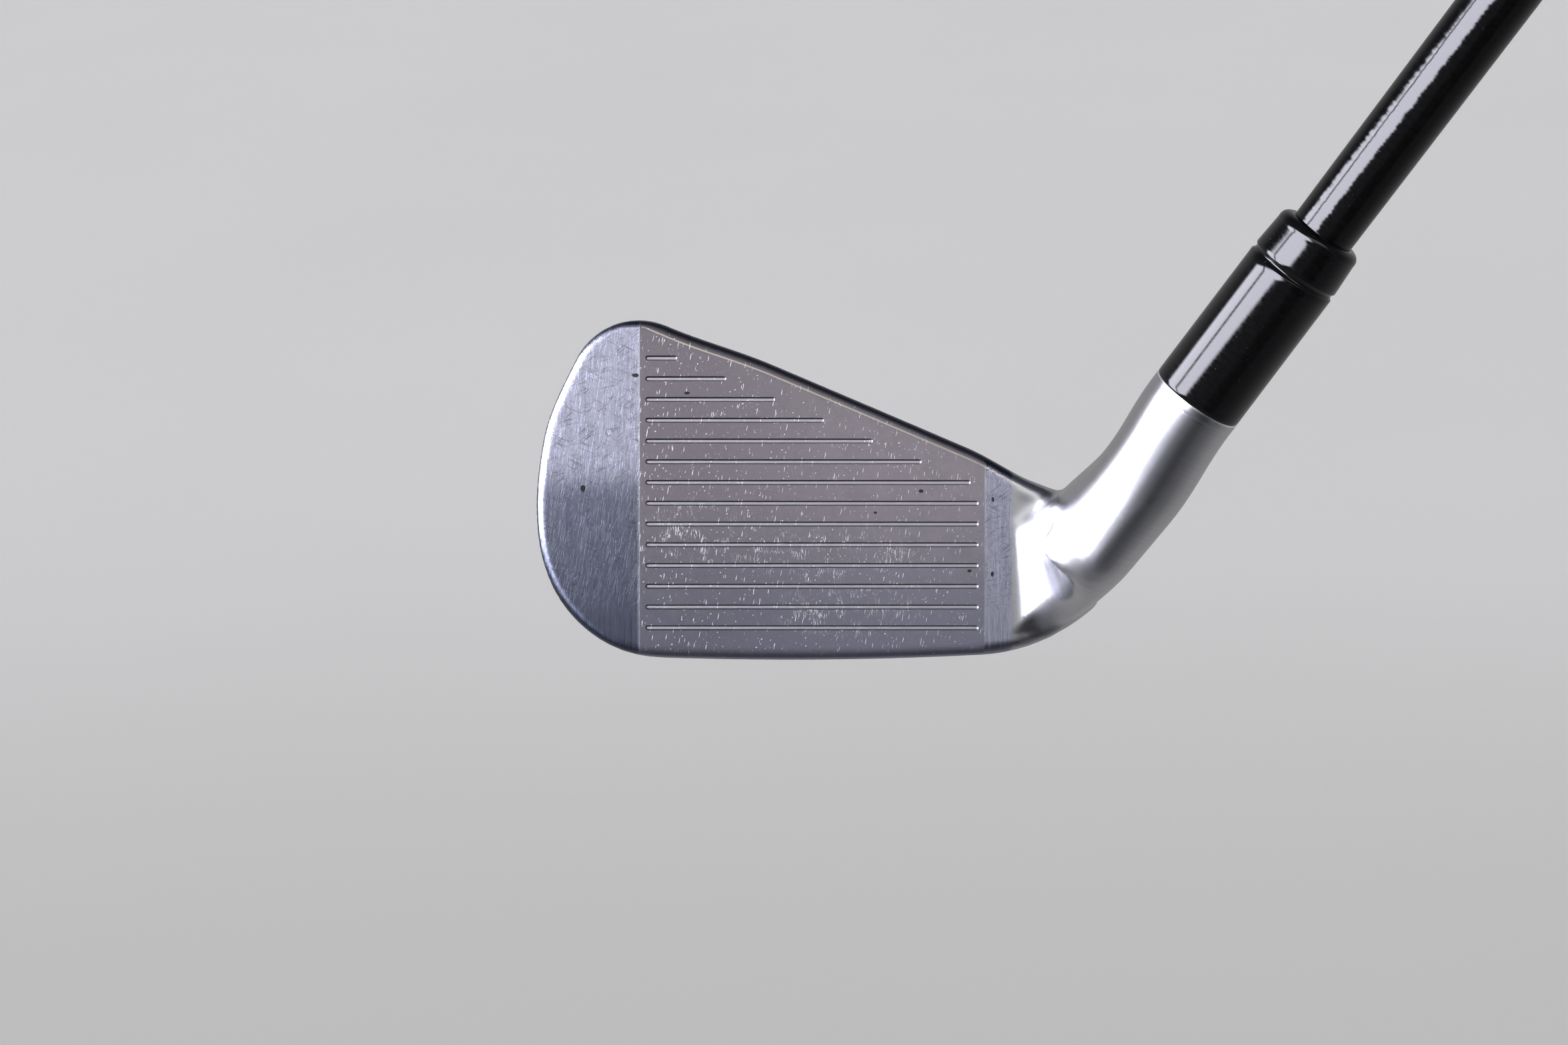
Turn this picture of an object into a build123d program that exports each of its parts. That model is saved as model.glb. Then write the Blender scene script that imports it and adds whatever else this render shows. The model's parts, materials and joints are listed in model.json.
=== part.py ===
from build123d import *
import os
from math import cos, pi, radians, sin, tan

# Right-handed iron at address, in millimetres. +Z is up, the face looks towards -Y (the target),
# the toe is towards -X and the shaft leaves the heel towards +X. The origin is the point of the sole
# that touches the ground.

# ---- driving dimensions ----
LOFT = 27.0  # face angle back from vertical, degrees
LIE = 59.0  # shaft angle from the ground, degrees
CLUB_LENGTH = 965.0  # ground to the end of the cap, along the shaft

BOUNCE = 7.0  # the sole leaves the leading edge this much steeper than level, degrees
SOLE_RADIUS = 45.0  # of the sole's camber from front to back
TOPLINE_SLOPE = 23.0  # fall of the top line from toe to heel, in the face plane
TOPLINE_START = (-22.2, 51.2)  # where the straight top line meets the toe's peak
TOPLINE_LENGTH = 66.0
TOPLINE_THICKNESS = 5.6
SOLE_DEPTH = 20.0  # behind the face plane
SOLE_RISE = 7.4  # the outline's sole climbs by this at the back of the blade
SOLE_DROP = 1.6  # and dips by this at the face plane, below the rounded leading edge
MUSCLE_TOP = (12.6, 21.0)  # depth and height where the thick lower part turns into the thin back
BACK_WAIST = (7.4, 29.0)  # depth and height where the thin back has levelled out
LEADING_RADIUS = 2.4
EDGE_RADIUS = 1.2
FACE_THICKNESS = 3.0

GROOVE_COUNT = 14
GROOVE_PITCH = 3.175
GROOVE_WIDTH = 0.76
GROOVE_DEPTH = 0.45
GROOVE_BOTTOM = 4.8  # height of the lowest groove up the face
GROOVE_HALF_SPAN = 25.5
TOP_GROOVE_END = -20.6  # heel end of the shortest, uppermost groove

AXIS_AT_SOLE = (28.6, -6.5)  # where the shaft axis meets the ground, in X and Y
HOSEL_TOP = 51.9  # distances along the shaft axis are measured from the ground
HOSEL_RADIUS = 6.85
HOSEL_FLARE = 7.35  # hosel radius where it starts to bend into the blade
BEND_START = 15.7
BEND_RADIUS = 12.6  # of the neck's middle line, from the shaft's line down to level
NECK_END = 2.8
NECK_TUCK = 9.2  # the neck's front runs back by this to meet the face
NECK_SWELL = 8.6  # and its back swells by this into the thick of the blade
BORE_RADIUS = 4.7
BORE_DEPTH = 31.0
BORE_LEAD_IN = 0.5

FERRULE_LENGTH = 28.9
FERRULE_TOP_RADIUS = 6.2
FERRULE_RING_AT = 22.3
FERRULE_RING_WIDTH = 1.0

SHAFT_TIP_RADIUS = 4.55
SHAFT_BUTT_RADIUS = 7.55
SHAFT_TIP_PARALLEL = 150.0
SHAFT_BUTT_PARALLEL = 290.0
SHAFT_TIP_BORE = 2.6
SHAFT_BUTT_BORE = 6.6
TIP_PLUG_LENGTH = 22.0

GRIP_LENGTH = 267.0
GRIP_MOUTH_RADIUS = 9.6
GRIP_CAP_RADIUS = 13.6
CAP_THICKNESS = 7.0
TAPE_THICKNESS = 0.25
VENT_RADIUS = 1.6

BADGE_TAPE = 0.8
BADGE_THICKNESS = 1.1
RELIEF_COUNT = 6
RELIEF_PITCH = 3.2
CAVITY_FLOOR = 19.0  # height of the cavity's lower wall up the face
CAVITY_ROOF = 46.2
CAVITY_SPAN = (-33.0, -23.0, 27.0)  # toe wall, shoulder and heel wall
CAVITY_TOE_DROP = 7.0  # the roof falls by this from the shoulder to the toe wall
CAVITY_CORNER = 2.6
BADGE_GAP = 0.9  # between the badge and the cavity's walls
SLOT_DEPTH = 4.6  # middle of the undercut slot, behind the face plane
SLOT_WIDTH = 3.2
SLOT_DROP = 8.0
SLOT_HALF_LENGTH = 20.0
TOE_WEIGHT_RADIUS = 3.2
TOE_WEIGHT_LENGTH = 7.0
TOE_WEIGHT_X = -25.0

# ---- frames ----
up_face = Vector(0, sin(radians(LOFT)), cos(radians(LOFT)))
out_of_face = Vector(0, -cos(radians(LOFT)), sin(radians(LOFT)))
# the camber touches the ground where it runs level; the face plane is placed from there
sole_start = radians(LOFT - BOUNCE)
tilt = radians(LOFT)
contact_depth = LEADING_RADIUS * (1 + sin(sole_start)) + SOLE_RADIUS * (sin(tilt) - sin(sole_start))
contact_height = LEADING_RADIUS * (1 - cos(sole_start)) + SOLE_RADIUS * (cos(sole_start) - cos(tilt))
face_origin = out_of_face * contact_depth - up_face * contact_height
face_plane = Plane(face_origin, x_dir=(1, 0, 0), z_dir=out_of_face)
side_plane = Plane(face_origin, x_dir=-out_of_face, z_dir=(1, 0, 0))  # x is depth, y is up the face

shaft_dir = Vector(cos(radians(LIE)), 0, sin(radians(LIE)))
shaft_foot = Vector(*AXIS_AT_SOLE, 0)
shaft_axis = Axis(shaft_foot, shaft_dir)
shaft_section = Plane(shaft_foot, x_dir=(sin(radians(LIE)), 0, -cos(radians(LIE))), z_dir=(0, -1, 0))

bore_bottom = HOSEL_TOP - BORE_DEPTH
ferrule_top = HOSEL_TOP + FERRULE_LENGTH
grip_mouth = CLUB_LENGTH - GRIP_LENGTH
cap_start = CLUB_LENGTH - CAP_THICKNESS
shaft_end = cap_start - 0.3


def outline(sole_rise=0.0, top_drop=0.0):
    """The blade seen square to the face, as tangent arcs from the top line round the toe to the heel."""
    slope = radians(TOPLINE_SLOPE)
    start = (TOPLINE_START[0], TOPLINE_START[1] - top_drop)
    crotch = (start[0] + TOPLINE_LENGTH * cos(slope), start[1] - TOPLINE_LENGTH * sin(slope))
    squeeze = 1 - (sole_rise + top_drop) / 50
    with BuildLine() as edge:
        Line(crotch, start)
        peak = JernArc(start, (-cos(slope), sin(slope)), 10.9 * squeeze, 86)
        upper_toe = JernArc(peak @ 1, peak % 1, 49.2 * squeeze, 19.5)
        mid_toe = JernArc(upper_toe @ 1, upper_toe % 1, 69 * squeeze, 9)
        lower_toe = JernArc(mid_toe @ 1, mid_toe % 1, 19.5 * squeeze, 86.5)
        sole = JernArc(lower_toe @ 1, lower_toe % 1, 560, 5.0)
        heel = JernArc(sole @ 1, sole % 1, 23.5, 30)
        Line(heel @ 1, crotch)
    return edge


def groove_span(height):
    """Toe and heel ends of the groove at this height; the upper ones stop short of the top line."""
    top_groove = GROOVE_BOTTOM + (GROOVE_COUNT - 1) * GROOVE_PITCH
    heel_end = TOP_GROOVE_END + (top_groove - height) / tan(radians(TOPLINE_SLOPE))
    return -GROOVE_HALF_SPAN, min(GROOVE_HALF_SPAN, heel_end)


def along_shaft(distance):
    return shaft_foot + shaft_dir * distance


def ease(distance, start, end):
    """Rises smoothly from 0 at start to 1 at end."""
    share = min(1, max(0, (distance - start) / (end - start)))
    return share * share * (3 - 2 * share)


def neck_station(distance):
    """The neck's section at this distance along its middle line, which bends below BEND_START."""
    turn = LIE - max(0, (BEND_START - distance) / BEND_RADIUS) * 180 / pi
    direction = Vector(cos(radians(turn)), 0, sin(radians(turn)))
    across = Vector(-direction.Z, 0, direction.X)
    if distance >= BEND_START:
        place = along_shaft(distance)
    else:
        start_across = Vector(-shaft_dir.Z, 0, shaft_dir.X)
        place = along_shaft(BEND_START) + (start_across - across) * BEND_RADIUS
    radius = HOSEL_RADIUS + (HOSEL_FLARE - HOSEL_RADIUS) * ease(distance, HOSEL_TOP, 24)
    front = AXIS_AT_SOLE[1] - radius + NECK_TUCK * ease(distance, 25, NECK_END)
    back = AXIS_AT_SOLE[1] + radius + NECK_SWELL * ease(distance, 42, 19)
    place.Y = (front + back) / 2
    half_width = (back - front) / 2
    return place, direction, half_width, min(radius, half_width)


def pocket_outline():
    """The cavity's outline: it follows the top line and the toe, and ends above the thick sole."""
    slope = tan(radians(TOPLINE_SLOPE))
    toe, shoulder, heel = CAVITY_SPAN
    with BuildLine() as edge:
        FilletPolyline(
            (toe, CAVITY_FLOOR),
            (heel, CAVITY_FLOOR),
            (heel, CAVITY_ROOF - slope * (heel - shoulder)),
            (shoulder, CAVITY_ROOF),
            (toe, CAVITY_ROOF - CAVITY_TOE_DROP),
            radius=CAVITY_CORNER,
            close=True,
        )
    return edge


def depth_plane(depth):
    """A plane parallel to the face, this far behind it, that looks backwards out of the cavity."""
    return face_plane.offset(-depth)


# ---- head: one forging with hosel, cavity, undercut slot, weight pocket, bore and grooves ----
with BuildPart() as head_body:
    with BuildSketch(face_plane):
        make_face(outline(-SOLE_DROP).edges())
    with BuildSketch(face_plane.offset(-SOLE_DEPTH)):
        make_face(outline(SOLE_RISE, 1.0).edges())
    loft(ruled=True)
    # section through the sole, back and top line, the same from toe to heel
    with BuildSketch(side_plane):
        with BuildLine():
            face_line = Line((0, 60), (0, LEADING_RADIUS))
            leading_edge = JernArc(face_line @ 1, (0, -1), LEADING_RADIUS, 90 + LOFT - BOUNCE)
            sole_line = JernArc(leading_edge @ 1, leading_edge % 1, SOLE_RADIUS, 23)
            trailing_edge = JernArc(sole_line @ 1, sole_line % 1, 2.2, 80)
            muscle = Line(trailing_edge @ 1, MUSCLE_TOP)
            back = Spline(muscle @ 1, BACK_WAIST, (TOPLINE_THICKNESS, 60), tangents=(muscle % 1, (0, 1)))
            Line(back @ 1, face_line @ 0)
            weight_spot = side_plane.from_local_coords(muscle @ 0.33)
            weight_plane = Plane(
                weight_spot + Vector(TOE_WEIGHT_X, 0, 0),
                x_dir=(1, 0, 0),
                z_dir=(side_plane.from_local_coords(muscle @ 1) - weight_spot).cross(Vector(1, 0, 0)),
            )
        make_face()
    extrude(amount=60, both=True, mode=Mode.INTERSECT)
    rim = head_body.faces().sort_by(Axis(face_origin, out_of_face))[-1].edges()
    fillet(rim.filter_by(lambda e: face_plane.to_local_coords(e.center()).Y > 3), EDGE_RADIUS)
    # hosel, which bends and swells from the shaft's line into the thick of the blade
    for distance in (HOSEL_TOP, 46, 40, 34, 28, 22, BEND_START, 11.4, 7.2):
        place, direction, half_width, half_height = neck_station(distance)
        with BuildSketch(Plane(place, z_dir=direction, x_dir=(0, 1, 0))):
            Ellipse(half_width, half_height)
    loft()
    # the cavity and the slot that undercuts the muscle behind the face
    with BuildSketch(depth_plane(FACE_THICKNESS)):
        make_face(pocket_outline().edges())
    extrude(amount=-30, mode=Mode.SUBTRACT)
    with BuildSketch(side_plane):
        with Locations((SLOT_DEPTH, CAVITY_FLOOR - SLOT_DROP / 2)):
            RectangleRounded(SLOT_WIDTH, SLOT_DROP, 0.8)
    extrude(amount=SLOT_HALF_LENGTH, both=True, mode=Mode.SUBTRACT)
    # blind pocket for the toe weight, square to the back of the muscle
    with BuildSketch(weight_plane):
        Circle(TOE_WEIGHT_RADIUS)
    extrude(amount=-TOE_WEIGHT_LENGTH, mode=Mode.SUBTRACT)
    # scoring lines
    with BuildSketch(face_plane):
        for line in range(GROOVE_COUNT):
            height = GROOVE_BOTTOM + line * GROOVE_PITCH
            toe_end, heel_end = groove_span(height)
            with Locations(((toe_end + heel_end) / 2, height)):
                SlotOverall(heel_end - toe_end, GROOVE_WIDTH)
    extrude(amount=-GROOVE_DEPTH, mode=Mode.SUBTRACT)
    # shaft bore with its lead-in
    with BuildSketch(shaft_section):
        with BuildLine():
            Polyline(
                (0, bore_bottom - 1.5),
                (BORE_RADIUS, bore_bottom),
                (BORE_RADIUS, HOSEL_TOP - BORE_LEAD_IN),
                (BORE_RADIUS + BORE_LEAD_IN, HOSEL_TOP),
                (BORE_RADIUS + BORE_LEAD_IN, HOSEL_TOP + 1),
                (0, HOSEL_TOP + 1),
                close=True,
            )
        make_face()
    revolve(axis=shaft_axis, mode=Mode.SUBTRACT)

# ---- pieces fitted to the head ----
with BuildPart() as cavity_damper:
    with BuildSketch(side_plane):
        with Locations((SLOT_DEPTH, CAVITY_FLOOR - SLOT_DROP / 2)):
            RectangleRounded(SLOT_WIDTH, SLOT_DROP, 0.8)
    extrude(amount=SLOT_HALF_LENGTH, both=True)
    with BuildSketch(depth_plane(FACE_THICKNESS)):
        make_face(pocket_outline().edges())
    extrude(amount=-30, mode=Mode.SUBTRACT)

with BuildPart() as toe_weight:
    with BuildSketch(weight_plane.offset(-0.2)):
        Circle(TOE_WEIGHT_RADIUS)
    extrude(amount=0.2 - TOE_WEIGHT_LENGTH)
    chamfer(toe_weight.faces().sort_by(Axis(weight_plane.origin, weight_plane.z_dir))[-1].edges(), 0.4)

with BuildPart() as badge_tape:
    with BuildSketch(depth_plane(FACE_THICKNESS)):
        make_face(pocket_outline().edges())
        offset(amount=-BADGE_GAP - 0.3, mode=Mode.REPLACE)
    extrude(amount=-BADGE_TAPE)

with BuildPart() as cavity_badge:
    with BuildSketch(depth_plane(FACE_THICKNESS + BADGE_TAPE)):
        make_face(pocket_outline().edges())
        offset(amount=-BADGE_GAP, mode=Mode.REPLACE)
    extrude(amount=-BADGE_THICKNESS)
    chamfer(cavity_badge.faces().sort_by(Axis(face_origin, out_of_face))[0].edges(), 0.3)
    # raised rib and a row of slots as plain relief
    with BuildSketch(depth_plane(FACE_THICKNESS + BADGE_TAPE + BADGE_THICKNESS)):
        with Locations((-4, 25.5)):
            with GridLocations(RELIEF_PITCH, 1, RELIEF_COUNT, 1):
                SlotOverall(5.5, 1.6, rotation=68)
    extrude(amount=0.4, mode=Mode.SUBTRACT)

# ---- pieces turned about the shaft's line; each profile is (radius, distance from the ground) ----
taper_start = bore_bottom + SHAFT_TIP_PARALLEL
taper_end = shaft_end - SHAFT_BUTT_PARALLEL
glue_top = HOSEL_TOP - BORE_LEAD_IN

with BuildPart() as shaft:
    with BuildSketch(shaft_section):
        with BuildLine():
            Polyline(
                (SHAFT_TIP_BORE, bore_bottom),
                (SHAFT_TIP_RADIUS - 0.4, bore_bottom),
                (SHAFT_TIP_RADIUS, bore_bottom + 0.4),
                (SHAFT_TIP_RADIUS, taper_start),
                (SHAFT_BUTT_RADIUS, taper_end),
                (SHAFT_BUTT_RADIUS, shaft_end),
                (SHAFT_BUTT_BORE, shaft_end),
                (SHAFT_BUTT_BORE, taper_end),
                (SHAFT_TIP_BORE, taper_start),
                close=True,
            )
        make_face()
    revolve(axis=shaft_axis)

with BuildPart() as hosel_epoxy:
    with BuildSketch(shaft_section):
        with BuildLine():
            Polyline(
                (SHAFT_TIP_RADIUS, bore_bottom + 0.4),
                (BORE_RADIUS, bore_bottom + 0.4),
                (BORE_RADIUS, glue_top),
                (SHAFT_TIP_RADIUS, glue_top),
                close=True,
            )
        make_face()
    revolve(axis=shaft_axis)

with BuildPart() as tip_plug:
    with BuildSketch(shaft_section):
        with BuildLine():
            Polyline(
                (0, bore_bottom),
                (SHAFT_TIP_BORE, bore_bottom),
                (SHAFT_TIP_BORE, bore_bottom + TIP_PLUG_LENGTH - 2),
                (SHAFT_TIP_BORE - 1, bore_bottom + TIP_PLUG_LENGTH),
                (0, bore_bottom + TIP_PLUG_LENGTH),
                close=True,
            )
        make_face()
    revolve(axis=shaft_axis)

ring_at = HOSEL_TOP + FERRULE_RING_AT
collar_radius = FERRULE_TOP_RADIUS + 0.25
with BuildPart() as ferrule:
    with BuildSketch(shaft_section):
        with BuildLine():
            Line((SHAFT_TIP_RADIUS, HOSEL_TOP - BORE_LEAD_IN), (SHAFT_TIP_RADIUS + 0.6, HOSEL_TOP))
            Line((SHAFT_TIP_RADIUS + 0.6, HOSEL_TOP), (HOSEL_RADIUS, HOSEL_TOP))
            body = Line((HOSEL_RADIUS, HOSEL_TOP), (collar_radius + 0.15, ring_at - FERRULE_RING_WIDTH / 2))
            ring = ThreePointArc(
                body @ 1,
                (collar_radius - 0.25, ring_at),
                (collar_radius + 0.1, ring_at + FERRULE_RING_WIDTH / 2),
            )
            collar = Line(ring @ 1, (collar_radius - 0.2, ferrule_top - 1.8))
            crown = ThreePointArc(collar @ 1, (collar_radius - 0.75, ferrule_top - 0.5), (5.0, ferrule_top))
            Line(crown @ 1, (SHAFT_TIP_RADIUS, ferrule_top))
            Line((SHAFT_TIP_RADIUS, ferrule_top), (SHAFT_TIP_RADIUS, HOSEL_TOP - BORE_LEAD_IN))
        make_face()
    revolve(axis=shaft_axis)

tape_radius = SHAFT_BUTT_RADIUS + TAPE_THICKNESS
with BuildPart() as grip_tape:
    with BuildSketch(shaft_section):
        with BuildLine():
            Polyline(
                (SHAFT_BUTT_RADIUS, grip_mouth + 2),
                (tape_radius, grip_mouth + 2),
                (tape_radius, shaft_end),
                (SHAFT_BUTT_RADIUS, shaft_end),
                close=True,
            )
        make_face()
    revolve(axis=shaft_axis)

with BuildPart() as grip_sleeve:
    with BuildSketch(shaft_section):
        with BuildLine():
            Line((tape_radius, grip_mouth), (GRIP_MOUTH_RADIUS - 0.7, grip_mouth))
            lip = ThreePointArc(
                (GRIP_MOUTH_RADIUS - 0.7, grip_mouth), (GRIP_MOUTH_RADIUS - 0.2, grip_mouth + 0.3),
                (GRIP_MOUTH_RADIUS, grip_mouth + 1.2),
            )
            taper = Spline(
                lip @ 1, (11.9, grip_mouth + 150), (GRIP_CAP_RADIUS - 0.4, cap_start),
                tangents=((0.012, 1), (0.022, 1)),
            )
            Line(taper @ 1, (tape_radius, cap_start))
            Line((tape_radius, cap_start), (tape_radius, grip_mouth))
        make_face()
    revolve(axis=shaft_axis)

with BuildPart() as grip_cap:
    with BuildSketch(shaft_section):
        with BuildLine():
            Line((VENT_RADIUS, cap_start), (GRIP_CAP_RADIUS - 0.4, cap_start))
            bead = ThreePointArc(
                (GRIP_CAP_RADIUS - 0.4, cap_start),
                (GRIP_CAP_RADIUS, cap_start + 2.2),
                (GRIP_CAP_RADIUS - 1.0, cap_start + 4.6),
            )
            crown = ThreePointArc(bead @ 1, (8.0, CLUB_LENGTH - 0.55), (VENT_RADIUS, CLUB_LENGTH))
            Line(crown @ 1, (VENT_RADIUS, cap_start))
        make_face()
    revolve(axis=shaft_axis)

# ---- export ----
pieces = {
    "head_body": head_body,
    "cavity_damper": cavity_damper,
    "toe_weight": toe_weight,
    "badge_tape": badge_tape,
    "cavity_badge": cavity_badge,
    "shaft": shaft,
    "hosel_epoxy": hosel_epoxy,
    "tip_plug": tip_plug,
    "ferrule": ferrule,
    "grip_tape": grip_tape,
    "grip_sleeve": grip_sleeve,
    "grip_cap": grip_cap,
}
os.makedirs("parts", exist_ok=True)
for name, piece in pieces.items():
    piece.part.label = name
    export_step(piece.part, f"parts/{name}.step")
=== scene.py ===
import json
from math import cos, hypot, pi, radians, sin, tan

import bmesh
import bpy
import numpy as np
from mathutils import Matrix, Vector


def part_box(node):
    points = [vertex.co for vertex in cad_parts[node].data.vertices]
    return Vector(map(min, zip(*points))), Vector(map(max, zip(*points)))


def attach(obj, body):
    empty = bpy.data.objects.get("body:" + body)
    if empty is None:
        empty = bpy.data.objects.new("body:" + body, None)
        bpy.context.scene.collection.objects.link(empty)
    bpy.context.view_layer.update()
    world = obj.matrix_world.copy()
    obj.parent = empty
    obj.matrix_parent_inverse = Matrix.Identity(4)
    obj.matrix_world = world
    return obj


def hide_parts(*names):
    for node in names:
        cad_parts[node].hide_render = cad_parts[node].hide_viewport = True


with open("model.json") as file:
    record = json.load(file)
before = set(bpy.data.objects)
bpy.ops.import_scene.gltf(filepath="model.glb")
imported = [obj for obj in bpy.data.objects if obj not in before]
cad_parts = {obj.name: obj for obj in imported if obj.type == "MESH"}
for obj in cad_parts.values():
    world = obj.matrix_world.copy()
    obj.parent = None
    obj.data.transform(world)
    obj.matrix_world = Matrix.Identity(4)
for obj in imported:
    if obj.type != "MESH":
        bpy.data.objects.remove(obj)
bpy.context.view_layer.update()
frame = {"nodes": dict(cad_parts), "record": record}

MM = 0.001

# ---------------------------------------------------------------- driving sizes, in millimetres
LOFT = radians(27)
LIE = radians(59)
BOUNCE = radians(7)
LEADING_RADIUS = 2.4
SOLE_RADIUS = 45.0
TOPLINE_SLOPE = radians(23)
TOPLINE_START = (-22.2, 51.2)
TOPLINE_THICKNESS = 5.6
TOPLINE_BOW = 0.85
TOE_BULGE = 0.7
MUSCLE_TOP = (12.6, 21.0)
FACE_THICKNESS = 3.0
CAVITY_FLOOR = 19.0
CAVITY_ROOF = 46.2
CAVITY_TOE, CAVITY_SHOULDER, CAVITY_HEEL = -33.0, -23.0, 27.0
CAVITY_TOE_DROP = 7.0  # the roof falls by this from the shoulder to the toe wall
BLASTED_HALF_WIDTH = 26.4  # the blasted middle of the face, between the brushed toe and heel strip

GROOVE_COUNT = 14
GROOVE_PITCH = 3.175
GROOVE_BOTTOM = 4.8
GROOVE_HALF_SPAN = 25.5
TOP_GROOVE_END = -20.6
GROOVE_WIDTH = 0.76
GROOVE_DEPTH = 0.45

HOSEL_TOP = 51.9  # distances along the shaft axis are measured from the ground
HOSEL_RADIUS = 6.85
HOSEL_FLARE = 7.35
NECK_END = 2.8
NECK_TUCK = 9.2  # the neck's front runs back by this to meet the face
NECK_SWELL = 8.6  # and its back swells by this into the thick of the blade
HOLLOW_START = 30.4  # where the flat of the face ends, towards the heel
HOLLOW_RADIUS = 3.5
HOLLOW_SPREAD = 5.5  # the hollow's radius grows by this down to the sole
WALL_THICKNESS = 1.0  # kept round the bore
BORE_RADIUS = 4.7
BORE_BOTTOM = HOSEL_TOP - 31.0
FERRULE_TOP = HOSEL_TOP + 28.9
FERRULE_RING = HOSEL_TOP + 22.3
SHAFT_TIP_RADIUS = 4.55
SHAFT_BUTT_RADIUS = 7.55

CLUB_LENGTH = 965.0
CAP_START = CLUB_LENGTH - 7.0
GRIP_MOUTH = CLUB_LENGTH - 267.0
MOUTH_RADIUS = 9.6
CAP_RADIUS = 13.6
TAPE_RADIUS = SHAFT_BUTT_RADIUS + 0.25
VENT_RADIUS = 1.6
SHAFT_END = CAP_START - 0.3
TAPER_START = BORE_BOTTOM + 150.0
TAPER_END = SHAFT_END - 290.0
TIP_BORE, BUTT_BORE = 2.6, 6.6

mounts = {m["name"]: m for m in frame["record"]["mounts"]}
shaft_dir = np.array([cos(LIE), 0.0, sin(LIE)])
vent = np.array(mounts["grip_vent"]["pos_m"]) / MM
shaft_foot = vent - shaft_dir * vent[2] / shaft_dir[2]
across_shaft = np.array([sin(LIE), 0, -cos(LIE)])

up_face = np.array([0.0, sin(LOFT), cos(LOFT)])
out_of_face = np.array([0.0, -cos(LOFT), sin(LOFT)])
sole_start = LOFT - BOUNCE
contact_depth = LEADING_RADIUS * (1 + sin(sole_start)) + SOLE_RADIUS * (sin(LOFT) - sin(sole_start))
contact_height = LEADING_RADIUS * (1 - cos(sole_start)) + SOLE_RADIUS * (cos(sole_start) - cos(LOFT))
face_origin = out_of_face * contact_depth - up_face * contact_height


def on_face(across, height, depth=0.0):
    """A point in the row's frame, in millimetres, from its place on the face."""
    return face_origin + np.array([across, 0, 0]) + up_face * height - out_of_face * depth


# ---------------------------------------------------------------- signed distances that shape the head
def ease(value, start, end):
    """Runs smoothly from 0 to 1 as value goes from start to end."""
    share = np.clip((value - start) / (end - start), 0, 1)
    return share * share * (3 - 2 * share)


def rounded_and(a, b, radius):
    """Where both are inside, with the shared edge rounded."""
    corner = np.hypot(np.maximum(a + radius, 0), np.maximum(b + radius, 0))
    return np.minimum(np.maximum(a, b), -radius) + corner


def blended_or(a, b, reach):
    """Either one, filled smoothly where they are nearly level; a reach of 0 leaves them sharp."""
    reach = np.maximum(reach, 1e-6)
    return np.minimum(a, b) - np.maximum(reach - np.abs(a - b), 0) ** 2 / (4 * reach)


def arc_chain(start, heading, arcs):
    """Points along tangent arcs, each (radius, degrees), turning left from start."""
    points = [np.array(start, float)]
    for radius, turn in arcs:
        centre = points[-1] + radius * np.array([-sin(heading), cos(heading)])
        for k in range(1, ARC_STEPS + 1):
            angle = heading + radians(turn) * k / ARC_STEPS
            points.append(centre + radius * np.array([sin(angle), -cos(angle)]))
        heading += radians(turn)
    return points


def polygon_distance(points, across, height):
    """Signed distance to a closed outline, negative inside."""
    best = np.full(across.shape, 1e9)
    inside = np.zeros(across.shape, bool)
    for (ax, ay), (bx, by) in zip(points, np.roll(points, -1, axis=0)):
        ex, ey = bx - ax, by - ay
        px, py = across - ax, height - ay
        along = np.clip((px * ex + py * ey) / (ex * ex + ey * ey + 1e-12), 0, 1)
        best = np.minimum(best, (px - ex * along) ** 2 + (py - ey * along) ** 2)
        crosses = (ay > height) != (by > height)
        inside ^= crosses & (px < ex * py / (ey if ey else 1e-12))
    return np.where(inside, -1, 1) * np.sqrt(best)


class Plan:
    """An outline's signed distance over the face plane, sampled once and read back by interpolation."""

    low = np.array([-52.0, -14.0])
    step = 0.25
    size = (500, 300)

    def __init__(self, points):
        ticks = [self.low[k] + self.step * np.arange(self.size[k]) for k in (0, 1)]
        across, height = np.meshgrid(*ticks, indexing="ij")
        self.grid = polygon_distance(np.array(points), across, height)

    def at(self, across, height):
        a = np.clip((across - self.low[0]) / self.step, 0, self.size[0] - 1.001)
        b = np.clip((height - self.low[1]) / self.step, 0, self.size[1] - 1.001)
        i, j = a.astype(int), b.astype(int)
        a, b = a - i, b - j
        g = self.grid
        low = g[i, j] * (1 - a) + g[i + 1, j] * a
        high = g[i, j + 1] * (1 - a) + g[i + 1, j + 1] * a
        return low * (1 - b) + high * b


TOPLINE_LENGTH = 68.0
ARC_STEPS = 14
crotch = (
    TOPLINE_START[0] + TOPLINE_LENGTH * cos(TOPLINE_SLOPE),
    TOPLINE_START[1] - TOPLINE_LENGTH * sin(TOPLINE_SLOPE),
)
toe_arcs = ((10.9, 86), (49.2, 19.5), (69, 9), (19.5, 86.5))
sole_arcs = ((560, 5), (28, 53))
outline_points = [crotch] + arc_chain(TOPLINE_START, pi - TOPLINE_SLOPE, toe_arcs + sole_arcs)
# the blade stops before the heel's arc has turned all the way up
blade_plan = Plan(outline_points[:-3])
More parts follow.
